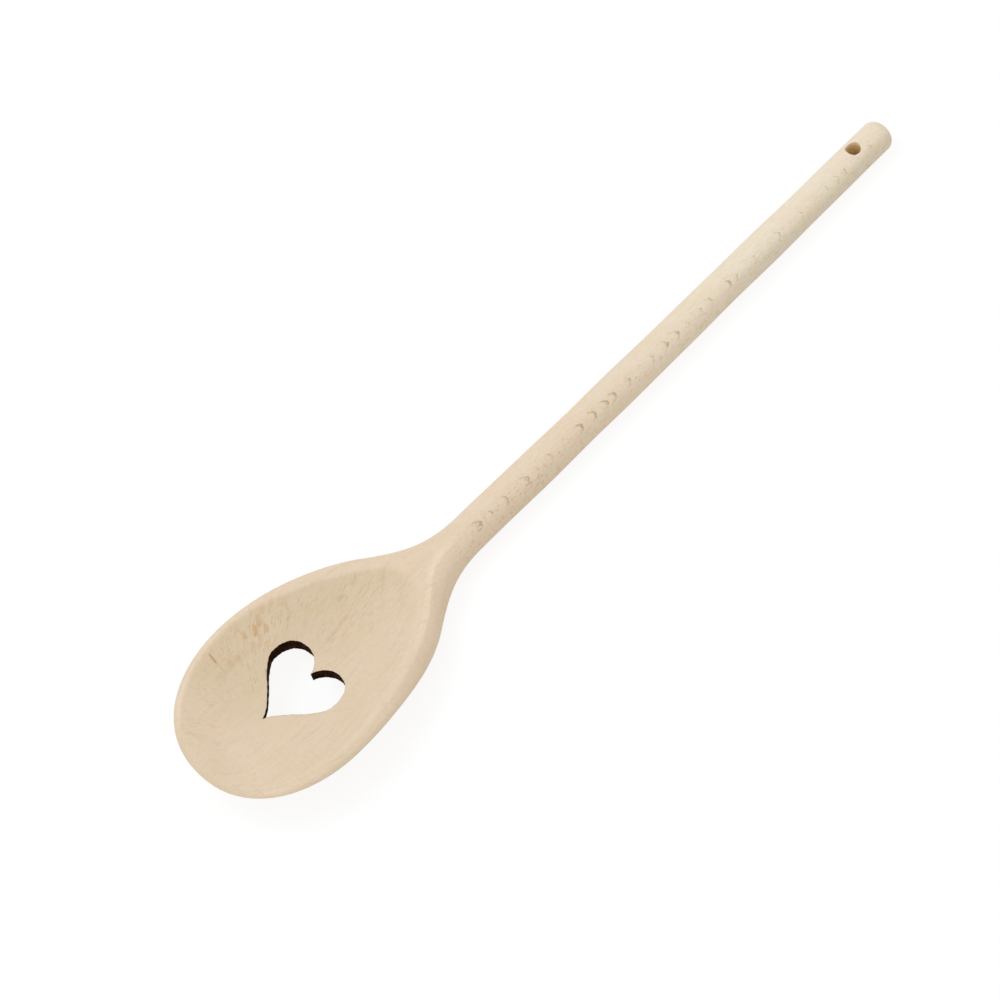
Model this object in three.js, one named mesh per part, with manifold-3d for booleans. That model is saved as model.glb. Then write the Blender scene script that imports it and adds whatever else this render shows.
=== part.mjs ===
// Cooking spoon in one piece of beech: a round tapered handle, an egg-shaped dished head with a heart cut
// through it, and a hole for hanging. Millimetres, +Z up. The spoon lies on a table with its dish upwards,
// its handle along +X and the origin under the middle of its bounding box.
// The spoon is drawn with x running from the tip to the end of the handle and z = 0 on the handle's axis.
import * as THREE from 'three';
import { mergeVertices } from 'three/addons/utils/BufferGeometryUtils.js';
import Module from 'manifold-3d';

const { clamp, lerp, smoothstep } = THREE.MathUtils;

// Handle
const spoonLength = 300;
const neckDiameter = 12.4; // where the handle starts to be plainly round
const endDiameter = 10.7;
const endRounding = 4; // length of the domed end
const hangHoleDiameter = 4.8;
const hangHoleFromEnd = 14;

// Head seen from above, measured from the tip
const headLength = 112; // to where the handle is plainly round
const bowlWidth = 65.4;
const widestAt = 36.8;
const tipFullness = 22; // how far the blunt tip pulls the outline sideways
const crownPull = 18.9; // pull of the outline on the tip's side of the widest place
const cheekPull = 20.4; // pull on the handle's side
const flankAt = 82.4; // where the side turns from bulging to hollow
const flankWidth = 36.6;
const flankSlope = 0.8;
const flankPull = 8.3;
const throatPull = 12; // pull of the hollow side on each of its ends

// Head seen from the side, heights over its widest line
const headLift = 8.3; // rise of the widest line over the handle's axis
const liftFrom = 112;
const liftTo = 37;
const tipLift = 0.8; // further rise of the widest line towards the tip
const tipLiftFrom = 48;
const rimRise = 2.9;
const tipRise = 1.3;
const tipRiseLength = 30;
const rimRound = 2.6; // width of the rounding outside the rim, also over and under the tip
const rimFullness = 1.2; // power of that rounding's curve: 1 is a straight bevel, 2 an ellipse
const bellyDepth = 7.75;
const tipDepth = 3.4;
const bladeLength = 66; // the belly swells from the thin tip to here
const bladeHollow = 2.4; // over 1, the belly swells late
const heelDepth = 2.2; // fullness under the neck, on which the head rests
const heelAt = 80;
const heelReach = 30;
const heelSquareness = 0.8; // flattens the heel's underside: 0 leaves it elliptic
const neckFrom = 60; // the head's section turns into the handle's between these two
const neckTo = 108;

// Dish
const dishDepth = 5.8;
const dishDeepestAt = 37.4;
const dishEnd = 91; // from the tip, where the dish runs out on the neck
const dishEndPull = 8;
const tipLand = 1;
const rimLand = 3.5; // flat of the rim beside the widest place
const dishTipPull = 20;
const dishCrownPull = 17;
const dishCheekPull = 23;

// Heart
const heartTipAt = 25.4;
const heartLength = 25.4;
const heartWidth = 29;
const heartWidestAt = 17.3; // from its tip
const lobeSpacing = 14;
const cleftDepth = 5.6;
const heartTipReach = 7.1;
const heartTipAngle = THREE.MathUtils.degToRad(23.3);
const heartSidePull = 5.65;
const lobePull = 5.1;
const cleftPull = 3.2;
const cleftFlare = 0.6;
const heartLean = THREE.MathUtils.degToRad(5.3); // the cut is square to the head, which rises to the tip

// Fineness
const headSteps = 38;
const neckSteps = 9;
const handleSteps = 3;
const endSteps = 5;
const dishSteps = 7;
const landSteps = 2;
const shoulderSteps = 5;
const bellySteps = 9;
const heartSegments = 10;
const holeSegments = 28;
const chainSteps = 40;
const halvings = 50;

const dishSkew = Math.log(0.5) / Math.log(dishDeepestAt / dishEnd);
const point = (x, y) => new THREE.Vector2(x, y);
const curve = (...points) => new THREE.CubicBezierCurve(...points);

const handleRadius = (x) =>
  lerp(neckDiameter, endDiameter, (x - headLength) / (spoonLength - headLength)) / 2;

// Height of a rounded edge that is 1 high, at a share of its width in from the outside.
const roundedEdge = (share, fullness) => (1 - (1 - clamp(share, 0, 1)) ** fullness) ** (1 / fullness);

// The outline from above: tip to widest place, to flank, to handle.
function headOutline() {
  const half = bowlWidth / 2;
  const flank = flankWidth / 2;
  return [
    curve(point(0, 0), point(0, tipFullness), point(widestAt - crownPull, half), point(widestAt, half)),
    curve(
      point(widestAt, half),
      point(widestAt + cheekPull, half),
      point(flankAt - flankPull, flank + flankSlope * flankPull),
      point(flankAt, flank),
    ),
    curve(
      point(flankAt, flank),
      point(flankAt + throatPull, flank - flankSlope * throatPull),
      point(headLength - throatPull, handleRadius(headLength - throatPull)),
      point(headLength, handleRadius(headLength)),
    ),
  ];
}

// The crease where the dish meets the flat of the rim: tip to widest place, then to the neck.
function dishOutline() {
  const half = bowlWidth / 2 - rimLand;
  return [
    curve(
      point(tipLand, 0),
      point(tipLand, dishTipPull),
      point(widestAt - dishCrownPull, half),
      point(widestAt, half),
    ),
    curve(
      point(widestAt, half),
      point(widestAt + dishCheekPull, half),
      point(dishEnd, dishEndPull),
      point(dishEnd, 0),
    ),
  ];
}

// Half width of an outline at x, by halving the curve that holds it. Zero outside the outline.
function halfWidthAt(outline, x) {
  const held = outline.find((part) => x >= part.v0.x && x <= part.v3.x);
  if (!held) return 0;
  let low = 0;
  let high = 1;
  for (let i = 0; i < halvings; i += 1) {
    const middle = (low + high) / 2;
    if (held.getPoint(middle).x < x) low = middle;
    else high = middle;
  }
  return held.getPoint((low + high) / 2).y;
}

// The outline as a chain of short straight pieces, with the handle's side as the last.
function rimChain(outline) {
  const spots = outline.flatMap((part) => part.getPoints(chainSteps).slice(1));
  const corners = [point(0, 0), ...spots, point(spoonLength, handleRadius(spoonLength))];
  const flat = corners.map((p) => new THREE.Vector3(p.x, p.y, 0));
  return flat.slice(1).map((end, i) => new THREE.Line3(flat[i], end));
}

function distanceTo(chain, x, y) {
  const spot = new THREE.Vector3(x, y, 0);
  const nearest = new THREE.Vector3();
  return Math.min(...chain.map((piece) => piece.closestPointToPoint(spot, true, nearest).distanceTo(spot)));
}

// Everything that shapes the section at x, from the tip to where the domed end begins.
function sectionSizes(x, outline, chain, crease) {
  const radius = handleRadius(x);
  const toHandle = smoothstep(x, neckFrom, neckTo);
  const heel = Math.max(0, 1 - ((x - heelAt) / heelReach) ** 2) ** 2;
  const halfWidth = x < headLength ? halfWidthAt(outline, x) : radius;
  const tipCurl = tipLift * (1 - smoothstep(x, 0, tipLiftFrom));
  const level = headLift * (1 - smoothstep(x, liftTo, liftFrom)) + tipCurl;
  const rise = lerp(lerp(tipRise, rimRise, smoothstep(x, 0, tipRiseLength)), radius, toHandle);
  const round = lerp(rimRound, radius, toHandle);
  const fullness = lerp(rimFullness, 2, toHandle);
  const swell = Math.sin((Math.PI / 2) * Math.min(1, x / bladeLength)) ** bladeHollow;
  const blade = lerp(tipDepth, bellyDepth, swell);
  const depth = roundedEdge(x / rimRound, 2) * lerp(blade, radius, toHandle) + heelDepth * heel;
  const along = Math.min(1, x / dishEnd) ** dishSkew;
  const dish = 4 * dishDepth * along * (1 - along);
  const power = 2 / (2 + heelSquareness * heel);
  const inside = (y) => distanceTo(chain, x, y);
  const size = { halfWidth, level, rise, round, fullness, depth, power, dish, inside };
  return { ...size, crease: halfWidthAt(crease, x) };
}

// Half of a closed section, from the middle of the top round to the flat strip under the middle. The belly's
// last step is half a step from the middle, so the strip is as wide as one step.
function halfSection({ halfWidth, level, rise, round, fullness, depth, power, dish, crease, inside }) {
  const quarter = Math.PI / 2;
  const flat = Math.max(crease, halfWidth - round, 0);
  const top = (y) => {
    const hollow = y < crease ? dish * (1 - (y / crease) ** 2) : 0;
    return point(y, level + rise * roundedEdge(inside(y) / round, fullness) - hollow);
  };
  const points = [];
  for (let i = 0; i < dishSteps; i += 1) points.push(top((crease * i) / dishSteps));
  for (let i = 0; i < landSteps; i += 1) points.push(top(lerp(crease, flat, i / landSteps)));
  for (let i = 0; i < shoulderSteps; i += 1) {
    points.push(top(lerp(flat, halfWidth, Math.sin((quarter * i) / shoulderSteps))));
  }
  for (let i = 0; i < bellySteps; i += 1) {
    const turn = (quarter * i) / (bellySteps - 0.5);
    points.push(point(halfWidth * Math.cos(turn) ** power, level - depth * Math.sin(turn) ** power));
  }
  return points;
}

function ring(x, sizes) {
  const half = halfSection(sizes);
  const other = half.slice(1).reverse();
  return [
    ...half.map((p) => new THREE.Vector3(x, p.x, p.y)),
    ...other.map((p) => new THREE.Vector3(x, -p.x, p.y)),
  ];
}

// Rings crowd together at the tip, at the dish's end and over the domed end, where the surface turns fastest.
function blankRings() {
  const outline = headOutline();
  const chain = rimChain(outline);
  const crease = dishOutline();
  const domeFrom = spoonLength - endRounding;
  const stations = [];
  for (let i = 0; i < headSteps; i += 1) {
    stations.push((dishEnd * (1 - Math.cos((Math.PI * i) / headSteps))) / 2);
  }
  for (let i = 0; i < neckSteps; i += 1) stations.push(lerp(dishEnd, headLength, i / neckSteps));
  for (let i = 0; i < handleSteps; i += 1) stations.push(lerp(headLength, domeFrom, i / handleSteps));
  const rings = stations.map((x) => ring(x, sectionSizes(x, outline, chain, crease)));
  for (let i = 0; i <= endSteps; i += 1) {
    const turn = (Math.PI / 2) * (i / endSteps);
    const radius = i < endSteps ? handleRadius(domeFrom) * Math.cos(turn) : 0;
    const across = { halfWidth: radius, rise: radius, round: radius, depth: radius };
    const plain = { level: 0, fullness: 2, power: 1, dish: 0, crease: 0, inside: (y) => radius - y };
    rings.push(ring(domeFrom + endRounding * Math.sin(turn), { ...across, ...plain }));
  }
  return rings;
}

// Skins a row of closed rings. Points that fall together are joined, and triangles without area left out.
function loft(rings) {
  const count = rings[0].length;
  const index = [];
  for (let i = 0; i + 1 < rings.length; i += 1) {
    for (let j = 0; j < count; j += 1) {
      const a = i * count + j;
      const b = i * count + ((j + 1) % count);
      index.push(a, a + count, b, b, a + count, b + count);
    }
  }
  const geometry = new THREE.BufferGeometry().setFromPoints(rings.flat());
  geometry.setIndex(index);
  const joined = mergeVertices(geometry);
  const corners = Array.from(joined.index.array);
  const kept = [];
  for (let i = 0; i < corners.length; i += 3) {
    const [a, b, c] = corners.slice(i, i + 3);
    if (a !== b && b !== c && c !== a) kept.push(a, b, c);
  }
  joined.setIndex(kept);
  return joined;
}

// The heart points its tip at the spoon's tip.
function heartPrism() {
  const half = heartWidth / 2;
  const lobe = lobeSpacing / 2;
  const widest = heartTipAt + heartWidestAt;
  const top = heartTipAt + heartLength;
  const cleft = top - cleftDepth;
  const reachX = heartTipAt + heartTipReach * Math.cos(heartTipAngle);
  const reachY = heartTipReach * Math.sin(heartTipAngle);
  const heart = new THREE.Shape();
  heart.moveTo(heartTipAt, 0);
  heart.bezierCurveTo(reachX, -reachY, widest - heartSidePull, -half, widest, -half);
  heart.bezierCurveTo(widest + lobePull, -half, top, -lobe - lobePull, top, -lobe);
  heart.bezierCurveTo(top, -lobe + cleftPull, cleft + cleftDepth / 2, -cleftFlare, cleft, 0);
  heart.bezierCurveTo(cleft + cleftDepth / 2, cleftFlare, top, lobe - cleftPull, top, lobe);
  heart.bezierCurveTo(top, lobe + lobePull, widest + lobePull, half, widest, half);
  heart.bezierCurveTo(widest - heartSidePull, half, reachX, reachY, heartTipAt, 0);
  const height = 2 * (headLift + rimRise + bellyDepth);
  const cut = { depth: height, bevelEnabled: false, curveSegments: heartSegments };
  const middle = heartTipAt + heartLength / 2;
  const floor = headLift + rimRise - dishDepth;
  const prism = new THREE.ExtrudeGeometry(heart, cut).translate(-middle, 0, -height / 2);
  return prism.rotateY(heartLean).translate(middle, 0, floor);
}

function hangHole() {
  const radius = hangHoleDiameter / 2;
  const drill = new THREE.CylinderGeometry(radius, radius, 2 * neckDiameter, holeSegments);
  return drill.rotateX(Math.PI / 2).translate(spoonLength - hangHoleFromEnd, 0, 0);
}

const wasm = await Module();
wasm.setup();

function solid(geometry) {
  const bare = geometry.clone();
  bare.deleteAttribute('normal');
  bare.deleteAttribute('uv');
  const joined = mergeVertices(bare);
  const vertProperties = new Float32Array(joined.attributes.position.array);
  const triVerts = new Uint32Array(joined.index.array);
  return new wasm.Manifold(new wasm.Mesh({ numProp: 3, vertProperties, triVerts }));
}

function meshGeometry(body) {
  const { vertProperties, triVerts } = body.getMesh();
  const geometry = new THREE.BufferGeometry();
  geometry.setAttribute('position', new THREE.BufferAttribute(vertProperties, 3));
  geometry.setIndex(new THREE.BufferAttribute(triVerts, 1));
  geometry.computeVertexNormals();
  return geometry;
}

// The slope of the line that the spoon rests on: of all lines from a point under its front half to one
// under its back half, the one that passes lowest.
function restSlope(geometry) {
  const { position } = geometry.attributes;
  const middle = spoonLength / 2;
  const front = [];
  const back = [];
  for (let i = 0; i < position.count; i += 1) {
    const spot = point(position.getX(i), position.getZ(i));
    if (spot.y < 0) (spot.x < middle ? front : back).push(spot);
  }
  let lowest = Infinity;
  let slope = 0;
  for (const a of front) {
    for (const b of back) {
      const steepness = (b.y - a.y) / (b.x - a.x);
      const height = a.y + steepness * (middle - a.x);
      if (height < lowest) {
        lowest = height;
        slope = steepness;
      }
    }
  }
  return slope;
}

const wood = { name: 'beech', color: 0xe2cfae, roughness: 0.6, metalness: 0 };
const blank = solid(loft(blankRings()));
const spoonGeometry = meshGeometry(blank.subtract(solid(heartPrism())).subtract(solid(hangHole())));

const spoon = new THREE.Mesh(spoonGeometry, new THREE.MeshStandardMaterial(wood));
spoon.name = 'spoon';
spoon.rotation.y = Math.atan(restSlope(spoonGeometry));

const part = new THREE.Group();
part.name = 'cooking_spoon';
part.add(spoon);
const box = new THREE.Box3().setFromObject(part, true);
const centre = box.getCenter(new THREE.Vector3());
spoon.position.set(-centre.x, -centre.y, -box.min.z);

export default part;
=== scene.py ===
"""Cooking spoon in one piece of beech, with a heart cut through its head and a hole for hanging.

The spoon is drawn in millimetres, with x from its tip to the end of its handle, y to its left and
z = 0 on the axis of the handle. At the end it is laid on the table and turned into metres, in the
frame of the solid model.
"""
import logging
import math
from dataclasses import dataclass
from enum import Enum
from typing import Sequence, Union

import bmesh
import bpy
import numpy as np
from mathutils import Matrix, Vector


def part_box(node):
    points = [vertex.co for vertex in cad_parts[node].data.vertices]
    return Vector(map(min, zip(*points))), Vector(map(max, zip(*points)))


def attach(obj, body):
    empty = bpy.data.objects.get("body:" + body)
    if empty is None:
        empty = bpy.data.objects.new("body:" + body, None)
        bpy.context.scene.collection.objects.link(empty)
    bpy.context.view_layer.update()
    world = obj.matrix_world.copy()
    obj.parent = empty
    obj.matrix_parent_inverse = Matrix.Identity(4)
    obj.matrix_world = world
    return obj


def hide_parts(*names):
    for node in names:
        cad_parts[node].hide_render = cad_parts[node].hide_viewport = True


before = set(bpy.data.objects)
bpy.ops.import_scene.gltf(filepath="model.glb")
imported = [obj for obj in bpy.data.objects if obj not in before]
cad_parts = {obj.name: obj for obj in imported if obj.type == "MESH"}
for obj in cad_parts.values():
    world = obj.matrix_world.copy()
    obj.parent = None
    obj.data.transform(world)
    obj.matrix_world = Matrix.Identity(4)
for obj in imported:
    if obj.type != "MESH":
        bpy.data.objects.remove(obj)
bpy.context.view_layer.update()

LOG = logging.getLogger("cooking_spoon")
MM = 0.001
TINY = 1e-6
WELD = 1e-5
NODE = "spoon"
# A colour ramp holds 32 stops: one at each end, and three for each band.
BANDS_IN_RAMP = 10

Spot = tuple[float, float]
Trio = tuple[float, float, float]
Color = tuple[float, float, float, float]
Socket = bpy.types.NodeSocket
Feed = Union[Socket, float, Sequence[float]]


class Region(Enum):
    """The three kinds of surface on the spoon, numbered as its material slots."""

    SANDED = 0
    CHARRED = 1
    DRILLED = 2


class Mark(Enum):
    """The values that each point of the spoon carries for its finish."""

    FIGURE = "figure"
    FAN = "fan"
    # The dish's deeper colour: partly the wood's own tone, partly painted shade.
    DISH_TONE_AND_SHADE = "dished"
    HEART_GAP = "heart_gap"
    # Paler rubbed edges, with painted highlight along the rim's near side.
    EDGE_RUB_AND_HIGHLIGHT = "edge_rub"
    FLAME = "flame_bars"
    RAYS = "ray_strength"
    # Painted shade on the handle's right side.
    PAINTED_SHADE = "streak"
    HEIGHT = "height"


def paint(red: float, green: float, blue: float) -> Color:
    """Turns a colour as seen on a screen into the values that a shader takes.

    Args:
        red, green, blue: Levels from 0 to 255.

    Returns:
        Linear red, green, blue and a full alpha.
    """
    levels = np.array([red, green, blue]) / 255
    linear = np.where(levels <= 0.04045, levels / 12.92, ((levels + 0.055) / 1.055) ** 2.4)
    return (*map(float, linear), 1.0)


def smooth(value: np.ndarray, low: float, high: float) -> np.ndarray:
    """Goes softly from 0 where value is low to 1 where it is high."""
    share = np.clip((value - low) / (high - low), 0, 1)
    return share * share * (3 - 2 * share)


def between(start: float, end: float, share: np.ndarray) -> np.ndarray:
    """Goes evenly from start to end as share goes from 0 to 1."""
    return start + (end - start) * share


def rounded_edge(share: np.ndarray, fullness: float) -> np.ndarray:
    """Height of an edge 1 high, at a share of its width: fullness 1 is a bevel, 2 an ellipse."""
    return (1 - (1 - np.clip(share, 0, 1)) ** fullness) ** (1 / fullness)


def chain_distance(chain: np.ndarray, spots: np.ndarray) -> np.ndarray:
    """Distance in plan from each spot to a chain of straight pieces.

    Args:
        chain: Corners of the chain, one row each.
        spots: Spots, one row each.

    Returns:
        One distance for each spot.
    """
    start = chain[:-1]
    along = chain[1:] - start
    away = spots[:, None] - start
    share = np.clip((away * along).sum(-1) / (along**2).sum(-1), 0, 1)
    return np.linalg.norm(away - share[..., None] * along, axis=-1).min(axis=1)


@dataclass(frozen=True)
class Bend:
    """One cubic curve in plan, from start to end, with a pull at each."""

    start: Spot
    leave: Spot
    arrive: Spot
    end: Spot

    def spots(self, steps: int) -> np.ndarray:
        """Points along the curve.

        Args:
            steps: Number of pieces that the curve is cut into.

        Returns:
            steps + 1 rows of x and y.
        """
        t = np.linspace(0, 1, steps + 1)[:, None]
        corners = np.array([self.start, self.leave, self.arrive, self.end])
        shares = np.hstack([(1 - t) ** 3, 3 * t * (1 - t) ** 2, 3 * t * t * (1 - t), t**3])
        return shares @ corners


def trace(bends: Sequence[Bend], steps: int) -> np.ndarray:
    """Joins curves that follow each other into one chain of spots, without doubled joints."""
    pieces = [bends[0].spots(steps)] + [bend.spots(steps)[1:] for bend in bends[1:]]
    return np.vstack(pieces)


def put(name: str, data: bpy.types.ID) -> bpy.types.Object:
    """Puts a mesh, a lamp or a camera into the scene.

    Args:
        name: Name of the object.
        data: The mesh, lamp or camera.

    Returns:
        The object.
    """
    thing = bpy.data.objects.new(name, data)
    bpy.context.scene.collection.objects.link(thing)
    return thing


def spots_of(mesh: bpy.types.Mesh) -> np.ndarray:
    """Reads the points of a mesh.

    Args:
        mesh: The mesh.

    Returns:
        Rows of x, y and z.
    """
    spots = np.empty(len(mesh.vertices) * 3)
    mesh.vertices.foreach_get("co", spots)
    return spots.reshape(-1, 3)


def closed_piece(
    name: str, spots: np.ndarray, faces: Sequence[tuple[int, ...]], region: Region
) -> bpy.types.Object:
    """Makes a closed piece, with doubled points joined and its faces turned outwards.

    Args:
        name: Name of the piece.
        spots: Its points, one row each.
        faces: The points of each face, by number.
        region: The kind of surface that it has.

    Returns:
        The piece, in the scene.
    """
    mesh = bpy.data.meshes.new(name)
    mesh.from_pydata(spots.tolist(), [], faces)
    solid = bmesh.new()
    solid.from_mesh(mesh)
    bmesh.ops.remove_doubles(solid, verts=solid.verts, dist=WELD)
    bmesh.ops.dissolve_degenerate(solid, edges=solid.edges, dist=TINY)
    bmesh.ops.recalc_face_normals(solid, faces=solid.faces)
    for face in solid.faces:
        face.material_index = region.value
    solid.to_mesh(mesh)
    solid.free()
    for _ in Region:
        mesh.materials.append(None)
    return put(name, mesh)


def prism(name: str, spots: np.ndarray, height: float, region: Region) -> bpy.types.Object:
    """An upright prism on a closed outline, for cutting.

    Args:
        name: Name of the cutter.
        spots: Corners of the outline in plan, counted against the clock or with it.
        height: Height of the prism, half of it under z = 0.
        region: The kind of surface that its sides leave.

    Returns:
        The cutter, in the scene.
    """
    count = len(spots)
    low = np.column_stack([spots, np.full(count, -height / 2)])
    high = np.column_stack([spots, np.full(count, height / 2)])
    sides = [(i, (i + 1) % count, count + (i + 1) % count, count + i) for i in range(count)]
    caps = [tuple(range(count))[::-1], tuple(range(count, 2 * count))]
    return closed_piece(name, np.vstack([low, high]), sides + caps, region)


@dataclass
class Handle:
    """The round tapered handle with its domed end."""

    spoon_length: float = 300
    starts_at: float = 112
    neck_diameter: float = 12.4
    end_diameter: float = 10.7
    end_rounding: float = 4
    waver: float = 0.07
    waver_lengths: Trio = (9.1, 5.3, 17)
    waver_shares: Trio = (1, 0.7, 0.6)
    waver_twist: float = 1.3
    waver_start: float = 0.8
    bow: float = 0.2
    bow_turns: float = 0.75
    uneven_run: Spot = (-10, 20)
    # Painted shade along the handle's right side, away from the lamp: where it starts across the handle, its
    # waver, and its run along the spoon.
    painted_shade_edge: Spot = (0.54, 0.92)
    painted_shade_waver: float = 0.06
    painted_shade_wave: float = 11
    painted_shade_start: Spot = (-15, 5)
    painted_shade_least: float = 0.3
    painted_shade_run: Spot = (180, 265)
    steps: int = 64
    dome_steps: int = 16

    @property
    def dome_from(self) -> float:
        """Where the domed end begins."""
        return self.spoon_length - self.end_rounding

    def radius(self, x: np.ndarray) -> np.ndarray:
        """Radius of the plain taper at x."""
        share = (x - self.starts_at) / (self.spoon_length - self.starts_at)
        return between(self.neck_diameter, self.end_diameter, share) / 2

    def stations(self) -> np.ndarray:
        """Places of the rings along the handle, up to the domed end."""
        return np.linspace(self.starts_at, self.dome_from, self.steps, endpoint=False)

    def dome(self) -> list[Spot]:
        """The rings over the domed end.

        Returns:
            Place and radius of each ring.
        """
        turns = np.linspace(0, math.pi / 2, self.dome_steps + 1)
        radii = self.radius(self.dome_from) * np.cos(turns)
        radii[-1] = 0
        return list(zip(self.dome_from + self.end_rounding * np.sin(turns), radii))

    def unevenness(self, spots: np.ndarray) -> np.ndarray:
        """Small hand-sanded unevenness of the round handle.

        Args:
            spots: Points of the spoon.

        Returns:
            How far each point moves.
        """
        x, y, z = spots.T
        past_neck = x - self.starts_at
        hold = smooth(past_neck, *self.uneven_run)
        turn = np.arctan2(z, y)
        first, second, third = (x / length for length in self.waver_lengths)
        twist = self.waver_twist * np.sin(turn)
        waves = (first + twist, second - 2 * turn + self.waver_start, third + 3 * turn)
        swell = sum(share * np.sin(wave) for share, wave in zip(self.waver_shares, waves))
        outward = self.waver * swell * hold / self.neck_diameter * 2
        share = past_neck / (self.spoon_length - self.starts_at)
        sideways = self.bow * hold * np.sin(2 * math.pi * self.bow_turns * share)
        return np.stack([np.zeros_like(x), outward * y - sideways, outward * z], axis=1)

    def streak(self, x: np.ndarray, y: np.ndarray) -> np.ndarray:
        """Painted shade: the handle darker along its right side, which is turned away from the lamp.

        Args:
            x, y: Places of points in plan.

        Returns:
            The painted shade's strength at each point.
        """
        aside = -y / self.radius(x) + self.painted_shade_waver * np.sin(x / self.painted_shade_wave)
        hold = smooth(x - self.starts_at, *self.painted_shade_start)
        hold = hold * between(self.painted_shade_least, 1, smooth(x, *self.painted_shade_run))
        return smooth(aside, *self.painted_shade_edge) * hold


@dataclass
class Head:
    """The egg-shaped head: its outline from above and its heights from the side."""

    handle: Handle
    length: float = 112
    width: float = 65.4
    widest_at: float = 36.8
    tip_fullness: float = 22
    crown_pull: float = 18.9
    cheek_pull: float = 20.4
    flank_at: float = 82.4
    flank_width: float = 36.6
    flank_slope: float = 0.8
    flank_pull: float = 8.3
    throat_pull: float = 12
    lift: float = 8.3
    lift_from: float = 112
    lift_to: float = 37
    tip_lift: float = 0.8
    tip_lift_from: float = 48
    rim_rise: float = 2.9
    tip_rise: float = 1.3
    tip_rise_length: float = 30
    rim_round: float = 2.6
    rim_fullness: float = 1.2
    belly_depth: float = 7.75
    tip_depth: float = 3.4
    blade_length: float = 66
    blade_hollow: float = 2.4
    heel_depth: float = 2.2
    heel_at: float = 80
    heel_reach: float = 30
    heel_squareness: float = 0.8
    neck_from: float = 60
    neck_to: float = 108
    curve_steps: int = 120
    fine_steps: int = 4000

    def outline(self) -> list[Bend]:
        """The left side from above.

        Returns:
            The curves from the tip to the widest place, to the flank and to the handle.
        """
        half, flank = self.width / 2, self.flank_width / 2
        widest, side = (self.widest_at, half), (self.flank_at, flank)
        throat = self.length - self.throat_pull
        return [
            Bend((0, 0), (0, self.tip_fullness), (self.widest_at - self.crown_pull, half), widest),
            Bend(
                widest,
                (self.widest_at + self.cheek_pull, half),
                (self.flank_at - self.flank_pull, flank + self.flank_slope * self.flank_pull),
                side,
            ),
            Bend(
                side,
                (self.flank_at + self.throat_pull, flank - self.flank_slope * self.throat_pull),
                (throat, self.handle.radius(throat)),
                (self.length, self.handle.radius(self.length)),
            ),
        ]

    def __post_init__(self) -> None:
        """Traces the outline once, finely for widths and coarsely for distances."""
        self._fine = trace(self.outline(), self.fine_steps)
        end = (self.handle.spoon_length, self.handle.radius(self.handle.spoon_length))
        self._chain = np.vstack([trace(self.outline(), self.curve_steps), end])

    def half_width(self, x: np.ndarray) -> np.ndarray:
        """Half width of the spoon at x."""
        in_head = np.interp(x, self._fine[:, 0], self._fine[:, 1])
        return np.where(x < self.length, in_head, self.handle.radius(x))

    def inside(self, x: float, y: np.ndarray) -> np.ndarray:
        """Distance in plan to the outline, for points y of the section at x."""
        return chain_distance(self._chain, np.stack([np.full_like(y, x), y], axis=1))

    def toward_handle(self, x: np.ndarray) -> np.ndarray:
        """How far the head's section has turned into the handle's at x."""
        return smooth(x, self.neck_from, self.neck_to)

    def heel(self, x: np.ndarray) -> np.ndarray:
        """Share of the fullness under the neck at x."""
        return np.maximum(0, 1 - ((x - self.heel_at) / self.heel_reach) ** 2) ** 2

    def level(self, x: np.ndarray) -> np.ndarray:
        """Height of the widest line at x."""
        tip_curl = self.tip_lift * (1 - smooth(x, 0, self.tip_lift_from))
        return self.lift * (1 - smooth(x, self.lift_to, self.lift_from)) + tip_curl

    def rise(self, x: np.ndarray) -> np.ndarray:
        """Height of the rim over the widest line at x."""
        rim = between(self.tip_rise, self.rim_rise, smooth(x, 0, self.tip_rise_length))
        return between(rim, self.handle.radius(x), self.toward_handle(x))

    def depth(self, x: np.ndarray) -> np.ndarray:
        """Depth of the belly under the widest line.

        Args:
            x: Places along the spoon.

        Returns:
            One depth for each place.
        """
        swell = np.sin(math.pi / 2 * np.minimum(1, x / self.blade_length)) ** self.blade_hollow
        blade = between(self.tip_depth, self.belly_depth, swell)
        body = between(blade, self.handle.radius(x), self.toward_handle(x))
        return rounded_edge(x / self.rim_round, 2) * body + self.heel_depth * self.heel(x)


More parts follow.
